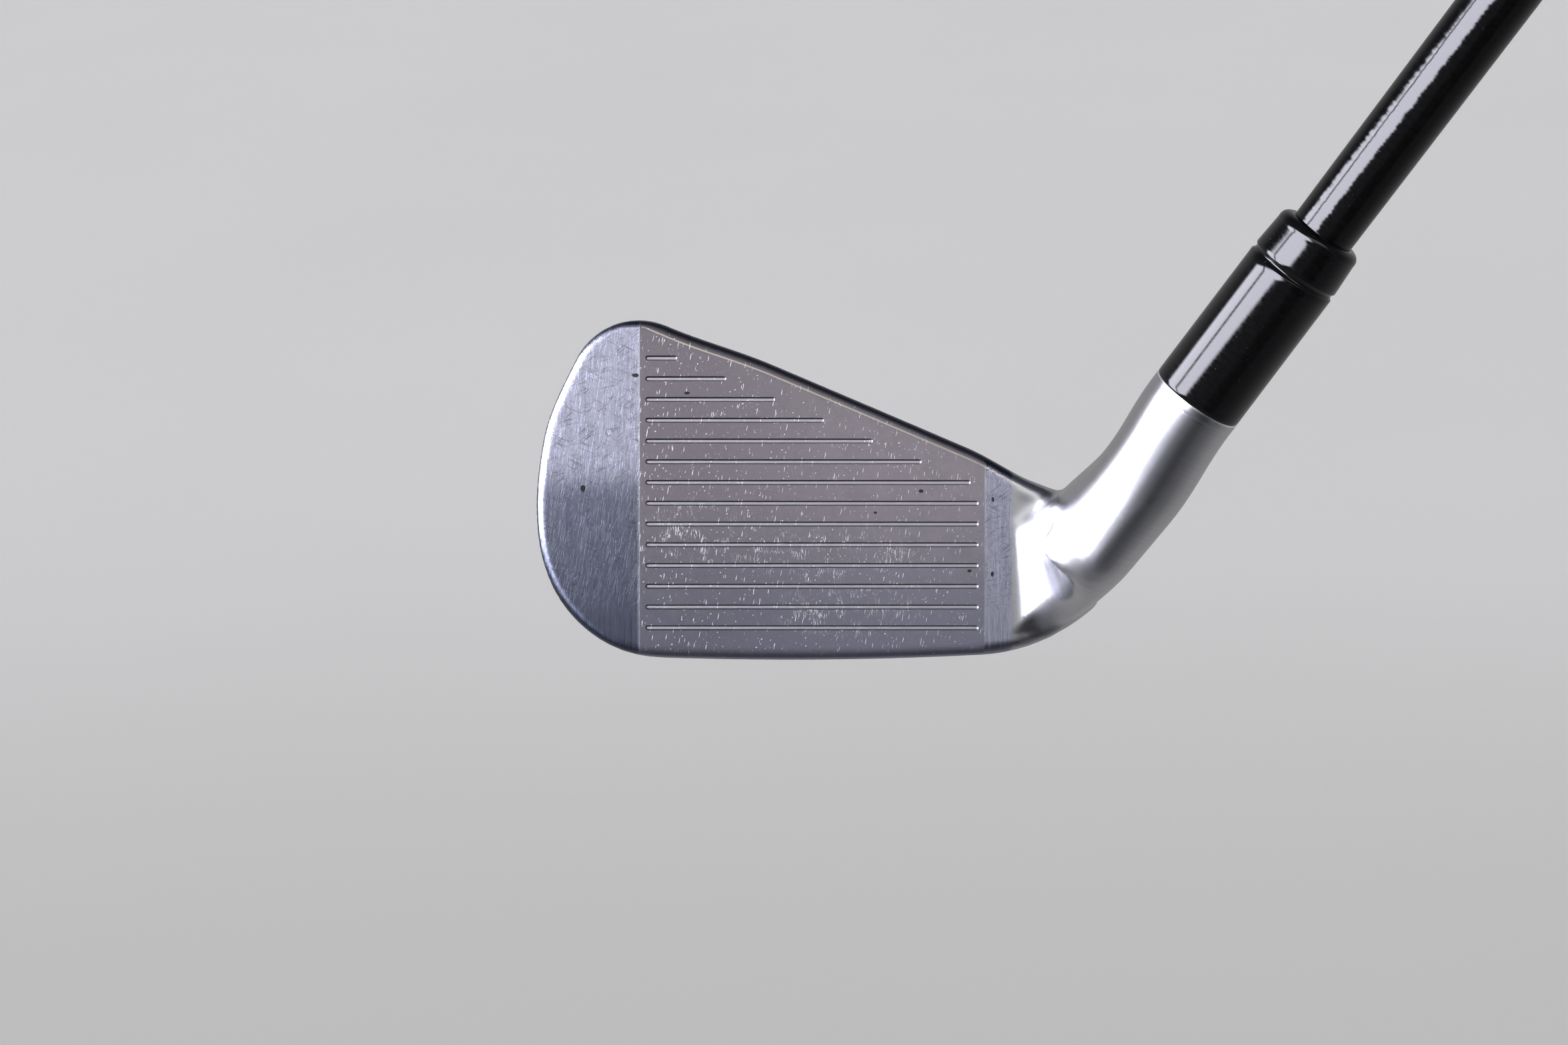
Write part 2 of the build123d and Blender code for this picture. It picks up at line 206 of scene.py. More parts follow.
# the same sole and heel without the top line, with the heel carried on beside the hosel
FAR_OUT = 90.0
heel_line = outline_points[-1] - outline_points[-2]
heel_line = heel_line / np.linalg.norm(heel_line)
sole_points = outline_points[-2 * ARC_STEPS:]
beside_toe = -50.0
under_plan = Plan(
    [(beside_toe, FAR_OUT), (beside_toe, sole_points[0][1])]
    + sole_points
    + [sole_points[-1] + heel_line * FAR_OUT]
)
pocket_plan = Plan([
    (CAVITY_TOE, CAVITY_FLOOR),
    (CAVITY_HEEL, CAVITY_FLOOR),
    (CAVITY_HEEL, CAVITY_ROOF - tan(TOPLINE_SLOPE) * (CAVITY_HEEL - CAVITY_SHOULDER)),
    (CAVITY_SHOULDER, CAVITY_ROOF),
    (CAVITY_TOE, CAVITY_ROOF - CAVITY_TOE_DROP),
])


def sole_height(depth):
    """How far up the face the sole lies at this depth, on the camber that the leading edge rounds into."""
    centre_depth = LEADING_RADIUS * (1 + sin(sole_start)) - SOLE_RADIUS * sin(sole_start)
    centre_height = LEADING_RADIUS * (1 - cos(sole_start)) + SOLE_RADIUS * cos(sole_start)
    return centre_height - np.sqrt(SOLE_RADIUS ** 2 - np.clip(depth - centre_depth, -44, 44) ** 2)


def back_depth(height):
    """Depth of the back's surface: thin behind the face, swelling into the muscle below."""
    thin = TOPLINE_THICKNESS + 0.06 * np.maximum(45 - height, 0)
    muscle = MUSCLE_TOP[0] + 0.65 * (MUSCLE_TOP[1] - height)
    soft = 2.0
    return thin + soft * np.logaddexp(0, (muscle - thin) / soft)


def blade_distance(across, height, depth):
    """The solid blade: its outline, its face, and its back with rounded edges between them."""
    low = 1 - ease(height, 8, 40)
    rim = blade_plan.at(across, height - sole_height(depth) * low) + 0.07 * np.maximum(depth, 0) * (1 - low)
    # the top line bows up a little, and the toe bulges at mid height
    rim = rim - TOPLINE_BOW * ease(across, -22, -6) * (1 - ease(across, 24, 34)) * ease(height, 12, 22)
    rim = rim - TOE_BULGE * (1 - ease(across, -38, -30)) * ease(height, 12, 26) * (1 - ease(height, 34, 46))
    edge = 1.15 + 0.6 * ease(across, -32, -22) + 0.65 * (1 - ease(height, 3, 16))
    front = rounded_and(-depth, rim, edge)
    narrowed = 5.0 * ease(across, 20, 42) * (1 - ease(height, 6, 24))
    return rounded_and(front, (depth - back_depth(height) + narrowed) * 0.8, 1.8)


def neck_distance(x, y, z):
    """The hosel and the neck that swells from it into the blade, the shaft's bore, and the bore's wall."""
    along = (x - shaft_foot[0]) * cos(LIE) + z * sin(LIE)
    inner = -(x - shaft_foot[0]) * sin(LIE) + z * cos(LIE)
    radius = HOSEL_RADIUS + (HOSEL_FLARE - HOSEL_RADIUS) * ease(along, HOSEL_TOP, 24)
    front = shaft_foot[1] - radius + NECK_TUCK * ease(along, 25, NECK_END)
    back = shaft_foot[1] + radius + NECK_SWELL * ease(along, 42, 19)
    half_width = (back - front) / 2
    lean = ease(along, 50, 34)
    off_axis = inner + 1.0 * lean
    half_height = np.minimum(radius, half_width) - np.where(off_axis > 0, 0.5, 0) * lean
    dy = y - (front + back) / 2
    near = np.hypot(dy / half_width, off_axis / half_height) + 1e-9
    steep = np.hypot(dy / half_width ** 2, off_axis / half_height ** 2) + 1e-9
    tucked = 0.3 * ease(along, HOSEL_TOP - 1.0, HOSEL_TOP - 0.5)
    tube = np.maximum(near * (near - 1) / steep + tucked, along - HOSEL_TOP + 0.2)
    from_axis = np.hypot(inner, y - shaft_foot[1])
    bore = np.minimum(BORE_RADIUS - from_axis, along - BORE_BOTTOM)
    wall_ends = np.maximum(BORE_BOTTOM - WALL_THICKNESS - along, along - HOSEL_TOP + WALL_THICKNESS)
    wall = np.maximum(from_axis - BORE_RADIUS - WALL_THICKNESS, wall_ends)
    return tube, bore, wall


def head_distance(points):
    """The whole head: blade and neck run together, with the cavity and the bore taken out."""
    x, y, z = points[..., 0], points[..., 1], points[..., 2]
    rel_y, rel_z = y - face_origin[1], z - face_origin[2]
    height = rel_y * up_face[1] + rel_z * up_face[2]
    depth = -(rel_y * out_of_face[1] + rel_z * out_of_face[2])
    blade = blade_distance(x, height, depth)
    neck, bore, wall = neck_distance(x, y, z)
    low = 1 - ease(height, 8, 40)
    under = under_plan.at(x, height - sole_height(np.maximum(depth, 0)) * low)
    neck = rounded_and(neck, under - 0.5, 1.5)
    reach = (1.8 + 4.5 * (1 - ease(height, 16, 26))) * ease(x, 22, 32) * ease(-under, 0.5, 7)
    body = blended_or(blade, neck, reach)
    # the flat of the face ends on an upright line, from which a hollow runs up on to the neck
    hollow = HOLLOW_RADIUS + HOLLOW_SPREAD * (1 - ease(height, 3, 24))
    past = x - HOLLOW_START
    curved = hollow - np.hypot(past, np.minimum(-depth - hollow, 0))
    milled = np.where(past > 0, np.where(-depth > hollow, hollow - past, curved), -depth)
    body = rounded_and(body, milled, 0.02 + 3.0 * ease(past, 0, 5))
    pocket = rounded_and(pocket_plan.at(x, height), FACE_THICKNESS - depth, 0.8)
    body = blended_or(body, wall, 0.8)
    return np.maximum(rounded_and(body, -pocket, 0.9), bore)


class Links:
    """The edges of a quad mesh, to find the mean of each point's neighbours."""

    def __init__(self, quads, count):
        sides = np.concatenate([quads[:, [k, (k + 1) % 4]] for k in range(4)])
        self.edges = np.unique(np.sort(sides, axis=1), axis=0)
        self.degree = np.bincount(self.edges.ravel(), minlength=count)[:, None]

    def mean(self, points):
        total = np.zeros_like(points)
        np.add.at(total, self.edges[:, 0], points[self.edges[:, 1]])
        np.add.at(total, self.edges[:, 1], points[self.edges[:, 0]])
        return total / self.degree


def surface_net(distance, low, high, step):
    """A quad mesh of the zero surface: one point per crossed cell, evened out and pulled on to it."""
    axes = [np.arange(low[k], high[k], step) for k in range(3)]
    field = np.empty([len(a) for a in axes])
    for i, x in enumerate(axes[0]):
        slab = np.stack(np.meshgrid([x], axes[1], axes[2], indexing="ij"), axis=-1)
        field[i] = distance(slab)[0]
    inside = field < 0
    shape = np.array(field.shape)
    count = sum(
        inside[i:shape[0] - 1 + i, j:shape[1] - 1 + j, k:shape[2] - 1 + k].astype(int)
        for i in (0, 1) for j in (0, 1) for k in (0, 1)
    )
    cells = (count > 0) & (count < 8)
    number = np.full(cells.shape, -1)
    number[cells] = np.arange(cells.sum())
    points = np.array([a[0] for a in axes]) + (np.argwhere(cells) + 0.5) * step
    quads = []
    for axis in range(3):
        first = np.take(inside, range(shape[axis] - 1), axis)
        second = np.take(inside, range(1, shape[axis]), axis)
        b, c = [np.eye(3, dtype=int)[k] for k in ((axis + 1) % 3, (axis + 2) % 3)]
        for leaving in (True, False):
            at = np.argwhere(first & ~second if leaving else second & ~first)
            ring = [at - b - c, at - c, at, at - b]
            if not leaving:
                ring.reverse()
            quads.append(np.stack([number[tuple(r.T)] for r in ring], axis=1))
    quads = np.concatenate(quads)
    links = Links(quads, len(points))
    reach = 0.1
    # six turns even the net out and pull it back on to the surface, and two more only pull
    for turn in range(8):
        if turn < 6:
            points = points * 0.4 + links.mean(points) * 0.6
        for _ in range(2):
            value = distance(points)
            slope = np.stack([
                (distance(points + reach * e) - distance(points - reach * e)) / (2 * reach)
                for e in np.eye(3)
            ], axis=1)
            size = np.maximum((slope ** 2).sum(axis=1), 0.2)
            points = points - slope * np.clip(value / size, -step, step)[:, None]
    return points, quads


def settle(points, quads, share, turns):
    """Evens out small bumps where share is above 0; every second turn swells, so the form doesn't shrink."""
    links = Links(quads, len(points))
    for turn in range(turns):
        step = -0.508 if turn % 2 else 0.5
        points = points + step * share[:, None] * (links.mean(points) - points)
    return points


# ---------------------------------------------------------------- mesh helpers
def mesh_object(name, points, faces):
    mesh = bpy.data.meshes.new(name)
    corners = [tuple(point) for point in np.asarray(points) * MM]
    mesh.from_pydata(corners, [], [tuple(int(i) for i in face) for face in faces])
    mesh.validate()
    obj = bpy.data.objects.new(name, mesh)
    bpy.context.scene.collection.objects.link(obj)
    return obj


def smooth(obj, angle):
    obj.data.shade_smooth()
    obj.data.set_sharp_from_angle(angle=radians(angle))


def about_shaft(radius, turn, distance):
    """A point at this radius and angle about the shaft axis, this far from the ground."""
    other = np.cross(shaft_dir, across_shaft)
    return shaft_foot + shaft_dir * distance + radius * (across_shaft * cos(turn) + other * sin(turn))


def turned_mesh(profile, segments, close=False):
    """Points and faces of a profile of (radius, distance) turned about the shaft axis."""
    points, faces = [], []
    for radius, distance in profile:
        for k in range(segments):
            points.append(about_shaft(radius, 2 * pi * k / segments, distance))
    rows = len(profile)
    for r in range(rows if close else rows - 1):
        a, b = r * segments, (r + 1) % rows * segments
        for k in range(segments):
            n = (k + 1) % segments
            faces.append((a + k, a + n, b + n, b + k))
    return points, faces


def apply_modifiers(obj):
    graph = bpy.context.evaluated_depsgraph_get()
    mesh = bpy.data.meshes.new_from_object(obj.evaluated_get(graph))
    obj.modifiers.clear()
    obj.data = mesh


def join(obj, other):
    """Adds other's mesh to obj's."""
    mesh = bmesh.new()
    mesh.from_mesh(obj.data)
    mesh.from_mesh(other.data)
    mesh.to_mesh(obj.data)
    mesh.free()
    bpy.data.objects.remove(other)


def cut(obj, cutter):
    modifier = obj.modifiers.new("cut", "BOOLEAN")
    modifier.operation = "DIFFERENCE"
    modifier.solver = "EXACT"
    modifier.object = cutter
    apply_modifiers(obj)
    bpy.data.objects.remove(cutter)


# ---------------------------------------------------------------- node helpers
class Nodes:
    """Short names for building a material's or the world's nodes."""

    def __init__(self, tree):
        self.tree = tree

    def node(self, kind, inputs=(), **props):
        node = self.tree.nodes.new(kind)
        for key, value in props.items():
            setattr(node, key, value)
        for key, value in dict(inputs).items():
            self.put(node.inputs[key], value)
        return node

    def put(self, socket, value):
        if isinstance(value, bpy.types.NodeSocket):
            self.tree.links.new(value, socket)
        else:
            socket.default_value = value

    def math(self, operation, *values, clamp=False):
        node = self.node("ShaderNodeMath", enumerate(values), operation=operation, use_clamp=clamp)
        return node.outputs[0]

    def vector(self, operation, *values):
        node = self.node("ShaderNodeVectorMath", enumerate(values), operation=operation)
        return node.outputs["Value" if operation in ("DOT_PRODUCT", "LENGTH") else "Vector"]

    def fade(self, value, start, end, low=0.0, high=1.0):
        """Runs smoothly from low to high as value goes from start to end."""
        node = self.node("ShaderNodeMapRange", interpolation_type="SMOOTHSTEP")
        inputs = {"Value": value, "From Min": start, "From Max": end, "To Min": low, "To Max": high}
        for key, number in inputs.items():
            self.put(node.inputs[key], number)
        return node.outputs["Result"]

    def mix(self, share, a, b, blend="MIX"):
        node = self.node("ShaderNodeMix", data_type="RGBA", blend_type=blend)
        for socket, value in zip((node.inputs[0], node.inputs[6], node.inputs[7]), (share, a, b)):
            self.put(socket, value)
        return node.outputs[2]

    def noise(self, vector, scale, detail=2.0, rough=0.5):
        inputs = {"Vector": vector, "Scale": scale, "Detail": detail, "Roughness": rough}
        return self.node("ShaderNodeTexNoise", inputs).outputs["Fac"]

    def combine(self, x, y, z=0.0):
        return self.node("ShaderNodeCombineXYZ", {0: x, 1: y, 2: z}).outputs[0]

    def bump(self, height, strength, distance):
        inputs = {"Height": height, "Strength": strength, "Distance": distance}
        return self.node("ShaderNodeBump", inputs).outputs[0]

    def either(self, *values):
        """The greatest of some masks."""
        total = values[0]
        for value in values[1:]:
            total = self.math("MAXIMUM", total, value)
        return total

    def both(self, *values):
        """The product of some masks or numbers."""
        total = values[0]
        for value in values[1:]:
            total = self.math("MULTIPLY", total, value)
        return total

    def scratches(self, across, up, degrees, length, width, amount, seed):
        """Thin straight marks about length by width millimetres, at an angle; a lower amount gives fewer."""
        turn = radians(degrees)
        along = self.math("ADD", self.both(across, cos(turn)), self.both(up, sin(turn)))
        aside = self.math("SUBTRACT", self.both(up, cos(turn)), self.both(across, sin(turn)))
        place = self.combine(self.both(along, 1 / length), self.both(aside, 1 / width), seed)
        return self.fade(self.noise(place, 1.0, 0.0), 0.80 - amount, 0.86 - amount)


def grey(level, tint=(1.0, 1.0, 1.0)):
    return tuple(level * t for t in tint) + (1.0,)


def new_material(name, **shader):
    material = bpy.data.materials.new(name)
    material.use_nodes = True
    bsdf = material.node_tree.nodes["Principled BSDF"]
    for key, value in shader.items():
        bsdf.inputs[key.replace("_", " ")].default_value = value
    return material, Nodes(material.node_tree), bsdf


def object_place(nodes):
    """The point in the row's frame, in millimetres."""
    place = nodes.node("ShaderNodeTexCoord").outputs["Object"]
    scale = nodes.node("ShaderNodeVectorMath", {0: place, "Scale": 1 / MM}, operation="SCALE")
    return scale.outputs["Vector"]


def shaft_place(nodes):
    """Distance along the shaft, and two distances square to its axis, in millimetres."""
    place = object_place(nodes)
    from_foot = nodes.vector("SUBTRACT", place, tuple(shaft_foot))
    along = nodes.vector("DOT_PRODUCT", from_foot, tuple(shaft_dir))
    side = nodes.vector("DOT_PRODUCT", from_foot, tuple(across_shaft))
    other = nodes.vector("DOT_PRODUCT", from_foot, (0.0, 1.0, 0.0))
    return along, side, other


# ---------------------------------------------------------------- materials
def patch(n, across, up, x, y, wide, tall):
    """A soft oval mark on the face, wide by tall millimetres from its middle."""
    dx = n.both(n.math("SUBTRACT", across, x), 1 / wide)
    dy = n.both(n.math("SUBTRACT", up, y), 1 / tall)
    return n.fade(n.math("SQRT", n.math("ADD", n.both(dx, dx), n.both(dy, dy))), 1.0, 0.35)


def blasted_finish(n, place, across, up, grain):
    """The face's middle: fine grain, faint mottling, and pale scuffs where balls have struck; painted
    reflection makes it darker low and lighter towards the top and the heel.
    """
    low, high = grey(0.155, (0.93, 0.93, 1.14)), grey(0.213, (1.06, 0.95, 1.0))
    # painted reflection: the flat face darker and bluer low, lighter and warmer towards the top
    colour = n.mix(n.fade(up, 0, 30), low, high)
    # painted light: the flat face lighter towards the heel
    heel_painted_light = n.fade(across, -28, 24)
    colour = n.mix(heel_painted_light, colour, n.mix(1.0, colour, grey(1.75), "MULTIPLY"))
    mottle = n.noise(place, 0.35, 3.0, 0.6)
    colour = n.mix(n.both(n.fade(mottle, 0.35, 0.7), 0.22), colour, grey(0.22))
    colour = n.mix(n.fade(grain, 0.62, 0.74, 0.0, 0.5), colour, grey(0.6))
    colour = n.mix(n.fade(grain, 0.38, 0.27, 0.0, 0.45), colour, grey(0.14))
    struck = n.either(
        patch(n, across, up, -17.5, 19.0, 10.0, 7.0),
        patch(n, across, up, 5.5, 7.5, 15.0, 5.5),
        patch(n, across, up, 2.0, 16.0, 20.0, 5.0),
    )
    ticks = n.either(
        n.scratches(across, up, 86, 1.5, 0.16, 0.14, 1.0),
        n.scratches(across, up, 97, 1.0, 0.13, 0.13, 5.0),
        n.scratches(across, up, 30, 0.5, 0.2, 0.10, 9.0),
    )
    uneven = n.fade(n.noise(place, 0.5, 2.0), 0.45, 0.65)
    ticks = n.both(ticks, n.fade(struck, 0.05, 0.8), uneven, 0.65)
    stray = n.either(
        n.scratches(across, up, 80, 1.6, 0.13, 0.045, 13.0),
        n.scratches(across, up, 20, 0.4, 0.3, 0.035, 17.0),
    )
    return colour, n.either(ticks, n.both(stray, 0.8))


def brushed_finish(n, across, up, hair):
    """The toe and the heel strip: upright hairlines, with painted shade low on the toe."""
    wide_hair = n.noise(n.combine(n.both(across, 1.6), n.both(up, 0.03), 4.0), 1.0, 2.0)
    dark, light = grey(0.44, (0.94, 0.95, 1.17)), grey(0.65, (0.96, 0.96, 1.17))
    colour = n.mix(n.fade(hair, 0.3, 0.7), dark, light)
    colour = n.mix(n.fade(wide_hair, 0.35, 0.7, 0.0, 0.3), colour, grey(0.36, (0.93, 0.97, 1.22)))
    # painted shade: the toe darker and bluer towards its bottom
    shade = n.both(n.fade(up, 31, 24), n.fade(across, -25, -27))
    shade = n.both(shade, n.fade(up, 26, 6, 0.78, 0.92))
    return n.mix(shade, colour, grey(0.12, (0.84, 0.96, 1.35)))


def dark_scratches(n, across, up):
    """Long scratches in many directions, each set (degrees, length, seed)."""
    upwards = ((12, 3.4, 7.0), (38, 4.0, 21.0), (64, 3.0, 33.0))
    rest = ((-24, 3.6, 41.0), (-52, 3.2, 55.0), (81, 4.4, 63.0))
    sets = [n.scratches(across, up, angle, size, 0.11, 0.10, seed) for angle, size, seed in upwards + rest]
    return n.either(*sets)


def black_chips(n, across, up):
    """The few black chips in the plating, each (across, up, half width, half height)."""
    on_blasted = (
        (16.7, 25.7, 0.5, 0.35),
        (24.1, 13.5, 0.45, 0.3),
        (-19.1, 40.7, 0.6, 0.3),
        (9.7, 22.4, 0.35, 0.25),
    )
    on_strip = ((27.7, 24.4, 0.3, 0.5), (27.6, 13.0, 0.35, 0.55))
    on_toe = ((-27.0, 43.4, 0.75, 0.4), (-35.0, 26.1, 0.55, 0.7))
    return n.either(*[patch(n, across, up, *chip) for chip in on_blasted + on_strip + on_toe])


def satin_finish(n, place, across, up, grain):
    """The back: satin, with light handling marks."""
    cloudy = n.noise(place, 0.12, 3.0, 0.5)
    colour = n.mix(n.fade(cloudy, 0.3, 0.7), grey(0.5), grey(0.57, (0.99, 0.99, 1.01)))
    colour = n.mix(n.fade(grain, 0.6, 0.75, 0.0, 0.25), colour, grey(0.7))
    rubbed = n.either(
        n.scratches(across, up, 15, 5.0, 0.12, 0.085, 81.0),
        n.scratches(across, up, -33, 6.0, 0.12, 0.08, 93.0),
    )
    return n.mix(n.both(rubbed, 0.5), colour, grey(0.85))


def scoring_line_shade_and_highlight(n, colour, up, in_groove):
    """Painted shade under each line's upper wall and on a thin lower lip, and a painted highlight on the
    floor between.
    """
    from_line = n.math("SUBTRACT", up, GROOVE_BOTTOM - GROOVE_PITCH / 2)
    from_line = n.math("SUBTRACT", n.math("MODULO", from_line, GROOVE_PITCH), GROOVE_PITCH / 2)
    # painted shade on each line's upper wall and lower lip
    wall_painted_shade = n.either(n.fade(from_line, 0.10, 0.2), n.fade(from_line, -0.24, -0.3))
    colour = n.mix(n.both(in_groove, wall_painted_shade), colour, grey(0.06))
    # painted highlight on each line's floor
    floor = n.both(in_groove, n.math("SUBTRACT", 1.0, wall_painted_shade), 0.55)
    return n.mix(floor, colour, grey(0.75, (1.02, 1.0, 1.04)))


def painted_edge_shade_and_highlight(n, colour, edge, across, up, out, from_top):
    """The rounded top and leading edges: painted shade makes them dark and bluish, and a painted highlight is
    a thin pale line under the top one.
    """
    at_peak = n.both(n.fade(up, 46, 50), n.fade(across, -24, -22))
    top_edge_painted_shade = n.both(edge, n.either(n.fade(from_top, 4.0, 2.0), at_peak))
    # painted shade: the rounded top edge dark and bluish
    colour = n.mix(n.both(top_edge_painted_shade, 0.8), colour, grey(0.10, (0.85, 0.92, 1.2)))
    low_edge_painted_shade = n.both(edge, n.fade(up, 3.2, 1.5))
    # painted shade along the rounded leading edge
    colour = n.mix(n.both(low_edge_painted_shade, 0.55), colour, grey(0.16, (0.88, 0.94, 1.15)))
    bow = n.both(n.fade(across, -22, -6), n.fade(across, 34, 24), TOPLINE_BOW)
    top_distance = n.math("ADD", n.both(from_top, cos(TOPLINE_SLOPE)), bow)
    # painted highlight: a thin pale line under the top edge
    from_painted_highlight = n.math("ABSOLUTE", n.math("SUBTRACT", top_distance, 1.75))
    painted_highlight = n.both(n.fade(from_painted_highlight, 0.17, 0.05), n.fade(out, -0.3, -0.1))
    painted_highlight = n.both(painted_highlight, n.fade(across, -26.5, -25), n.fade(across, 34, 31))
    return n.mix(n.both(painted_highlight, 0.6), colour, grey(0.8, (1.1, 1.0, 0.78)))


def head_material():
    material, n, bsdf = new_material("forged_steel", Metallic=1.0, Anisotropic=0.55)
    place = object_place(n)
    rel = n.vector("SUBTRACT", place, tuple(face_origin))
    across = n.node("ShaderNodeSeparateXYZ", {0: place}).outputs["X"]
    up = n.vector("DOT_PRODUCT", rel, tuple(up_face))
    out = n.vector("DOT_PRODUCT", rel, tuple(out_of_face))
    along, side, other = shaft_place(n)
    top_level = TOPLINE_START[1] + TOPLINE_START[0] * tan(TOPLINE_SLOPE)
    from_top = n.math("SUBTRACT", top_level, n.math("ADD", n.both(across, tan(TOPLINE_SLOPE)), up))

    # zones: the blasted middle and its border, the brushed rest of the face, the neck, and the back
    inside = n.math("SUBTRACT", BLASTED_HALF_WIDTH, n.math("ABSOLUTE", across))
    on_front = n.both(n.fade(out, -0.75, -0.45), n.fade(out, 0.4, 0.15))
    blasted = n.both(n.fade(inside, -0.06, 0.06), on_front)
    border = n.both(n.fade(n.math("ABSOLUTE", n.math("ADD", inside, 0.12)), 0.28, 0.1), on_front)
    on_polish = n.math("SUBTRACT", 1.0, blasted)
    past_flat = n.fade(across, HOLLOW_START - 0.3, HOLLOW_START + 0.6)
    neck = n.either(n.fade(out, 0.05, 0.5), n.fade(along, 30, 38), past_flat)
    behind = n.fade(out, -0.8, -1.6)
    calm = n.math("SUBTRACT", 1.0, n.either(neck, behind))
    edge = n.both(n.fade(out, -0.02, -0.35), n.fade(out, -4.6, -3.4), n.fade(across, 40, 34))
    edge = n.both(edge, n.math("SUBTRACT", 1.0, neck))

    grain = n.noise(place, 7.0, 3.0, 0.7)
    hair = n.noise(n.combine(n.both(across, 9.0), n.both(up, 0.12), out), 1.0, 3.0, 0.65)
    blast_colour, scuffs = blasted_finish(n, place, across, up, grain)
    scuffs = n.both(scuffs, blasted)
    # the neck is linished round the shaft's line, so its hairlines run across it
    turn_hair = n.combine(n.both(along, 5.0), n.both(side, 0.1), n.both(other, 0.1))
    turn_hair = n.noise(turn_hair, 1.0, 3.0, 0.6)
    linished = n.mix(n.fade(turn_hair, 0.25, 0.75), grey(0.56, (0.99, 0.99, 1.03)), grey(0.6))
    dark = n.both(dark_scratches(n, across, up), on_polish, calm, n.fade(up, 4, 12), 0.75)
    pits = n.fade(n.noise(n.combine(across, up, 77.0), 0.85, 2.0, 0.8), 0.735, 0.76)
    chipped = n.both(n.fade(black_chips(n, across, up), 0.25, 0.5), on_front)

    colour = n.mix(blasted, brushed_finish(n, across, up, hair), blast_colour)
    colour = n.mix(n.both(neck, n.math("SUBTRACT", 1.0, behind)), colour, linished)
    colour = n.mix(behind, colour, satin_finish(n, place, across, up, grain))
    colour = n.mix(scuffs, colour, grey(0.95))
    colour = n.mix(dark, colour, grey(0.07))
    colour = n.mix(n.both(pits, on_front, on_polish, 0.8), colour, grey(0.04))
    colour = n.mix(n.both(border, 0.2), colour, grey(0.75))
    in_groove = n.both(n.fade(out, -0.02, -0.06), blasted, n.fade(from_top, 3.6, 4.2), n.fade(up, 3.6, 4.2))
    # painted shade and highlight in the scoring lines
    colour = scoring_line_shade_and_highlight(n, colour, up, in_groove)
    # painted shade on the top and leading edges, and a painted highlight under the top one
    colour = painted_edge_shade_and_highlight(n, colour, edge, across, up, out, from_top)
    colour = n.mix(n.both(chipped, 0.9), colour, grey(0.03))
    # painted highlight: a thin white line round the hosel's top edge
    lip_painted_highlight = n.both(n.fade(along, HOSEL_TOP - 0.34, HOSEL_TOP - 0.28), neck)
    colour = n.mix(lip_painted_highlight, colour, grey(1.0))
    n.put(bsdf.inputs["Base Color"], colour)

    rough = n.math("ADD", n.both(n.fade(hair, 0.25, 0.75, -0.05, 0.07), calm), 0.27)
    rough = n.math("ADD", rough, n.both(blasted, 0.2))
    rough = n.math("ADD", rough, n.both(behind, 0.07))
    rough = n.math("SUBTRACT", rough, n.both(scuffs, 0.2))
    rough = n.math("SUBTRACT", rough, n.both(edge, 0.08), clamp=True)
    n.put(bsdf.inputs["Roughness"], rough)
    n.put(bsdf.inputs["Tangent"], n.combine(0.0, float(up_face[1]), float(up_face[2])))

    surface = n.both(grain, blasted)
    surface = n.math("ADD", surface, n.both(hair, on_polish, calm, 0.35))
    surface = n.math("ADD", surface, n.both(turn_hair, neck, 0.05))
    surface = n.math("SUBTRACT", surface, n.both(n.either(dark, chipped), 0.8))
    surface = n.math("SUBTRACT", surface, n.both(scuffs, 0.5))
    n.put(bsdf.inputs["Normal"], n.bump(surface, 0.22, 0.00006))
    return material


def gloss_material(name, level, ripple):
    """Gloss black paint or resin, with polishing swirls, dust and a slow ripple along the shaft."""
    material, n, bsdf = new_material(name, Specular_IOR_Level=0.45)
    along, side, other = shaft_place(n)
    place = n.combine(side, other, n.both(along, 0.4))
    swirl = n.noise(n.combine(n.both(along, 2.5), side, other), 1.0, 3.0)
    dust = n.fade(n.noise(place, 3.1, 2.0, 0.8), 0.70, 0.76)
    colour = n.mix(n.fade(swirl, 0.3, 0.7), grey(level * 0.8), grey(level * 1.25))
    colour = n.mix(n.both(dust, 0.12), colour, grey(0.2))
    n.put(bsdf.inputs["Base Color"], colour)
    n.put(bsdf.inputs["Roughness"], n.math("ADD", n.fade(swirl, 0.3, 0.7, 0.06, 0.13), n.both(dust, 0.2)))
    waves = n.noise(n.combine(n.both(along, 0.55), n.both(side, 0.1), n.both(other, 0.1)), 1.0, 2.0)
    height = n.math("ADD", n.both(waves, ripple), n.both(swirl, 0.06))
    n.put(bsdf.inputs["Normal"], n.bump(height, 0.5, 0.0001))
    return material


def rubber_material(name, level, grain_scale):
    """Moulded rubber: dull black with a pebbled skin, paler where it is handled."""
    material, n, bsdf = new_material(name, Specular_IOR_Level=0.35)
    place = object_place(n)
    pebble = n.noise(place, grain_scale, 3.0, 0.6)
    wear = n.noise(place, 0.06, 3.0, 0.6)
    colour = n.mix(n.fade(wear, 0.4, 0.7), grey(level), grey(level * 2.0, (1.0, 0.99, 0.97)))
    colour = n.mix(n.fade(pebble, 0.58, 0.72, 0.0, 0.5), colour, grey(level * 3.0))
    n.put(bsdf.inputs["Base Color"], colour)
    handled = n.math("ADD", wear, n.both(pebble, 0.3))
    n.put(bsdf.inputs["Roughness"], n.fade(handled, 0.3, 0.9, 0.78, 0.52))
    n.put(bsdf.inputs["Normal"], n.bump(pebble, 0.35, 0.00012))
    return material


